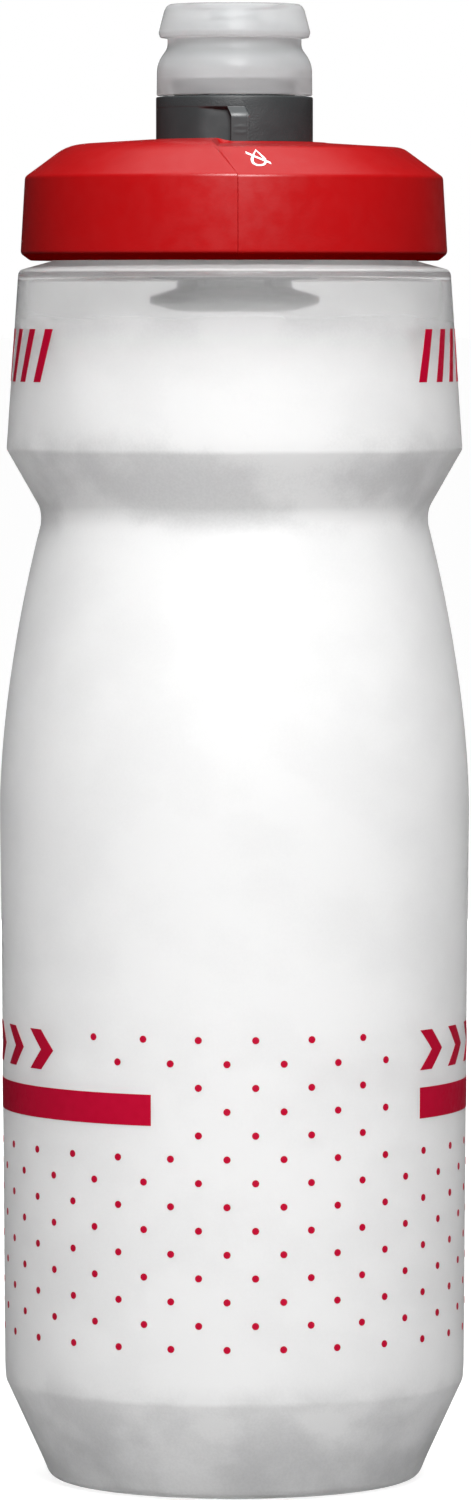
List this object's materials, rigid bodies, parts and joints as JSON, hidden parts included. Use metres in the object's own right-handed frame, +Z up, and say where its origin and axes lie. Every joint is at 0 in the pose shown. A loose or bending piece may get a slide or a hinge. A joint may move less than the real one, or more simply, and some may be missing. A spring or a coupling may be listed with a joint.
{
  "type": "bicycle water bottle",
  "caption": "Squeeze bottle for a bicycle's bottle cage, with a waisted translucent body, a screw lid, a quarter-turn shut-off collar and a soft slit nozzle.",
  "frame": {"origin": "centre of the foot, on the surface the bottle stands on", "axes": "+Z up along the bottle's axis, -Y towards the front, where the lid's seam and the collar's pointer rib are"},
  "size_m": [0.0734, 0.0734, 0.2308],
  "materials": {
    "body_plastic": "frosted translucent squeeze plastic",
    "lid_plastic": "satin red moulded plastic",
    "valve_plastic": "dark grey moulded plastic, fine grain",
    "nozzle_rubber": "milky translucent soft rubber",
    "seal_rubber": "pale soft seal rubber",
    "print_ink": "crimson printing ink"
  },
  "bodies": {
    "bottle": {"bottle_body": "body_plastic"},
    "lid_carriage": {"lid_seal": "seal_rubber"},
    "lid": {"lid": "lid_plastic", "valve_cage": "valve_plastic", "cage_o_ring": "seal_rubber", "port_seal": "seal_rubber"},
    "valve": {"twist_collar": "valve_plastic", "valve_rotor": "valve_plastic", "rotor_o_ring": "seal_rubber"},
    "nozzle": {"nozzle": "nozzle_rubber"}
  },
  "joints": [
    {"name": "lid_lift", "type": "slide", "parent": "bottle", "child": "lid_carriage", "axis": [0, 0, 1], "range_m": [0, 0.0201]},
    {"name": "lid_turn", "type": "hinge", "parent": "lid_carriage", "child": "lid", "pos_m": [0, 0, 0.2], "axis": [0, 0, 1], "range_deg": [0, 1440]},
    {"name": "collar_twist", "type": "hinge", "parent": "lid", "child": "valve", "pos_m": [0, 0, 0.212], "axis": [0, 0, 1], "range_deg": [0, 90]},
    {"name": "nozzle_pull", "type": "slide", "parent": "valve", "child": "nozzle", "axis": [0, 0, 1], "range_m": [0, 0.015]}
  ],
  "couplings": [
    {"joint": "lid_lift", "follows": "lid_turn", "m_per_rad": 0.00079577}
  ]
}
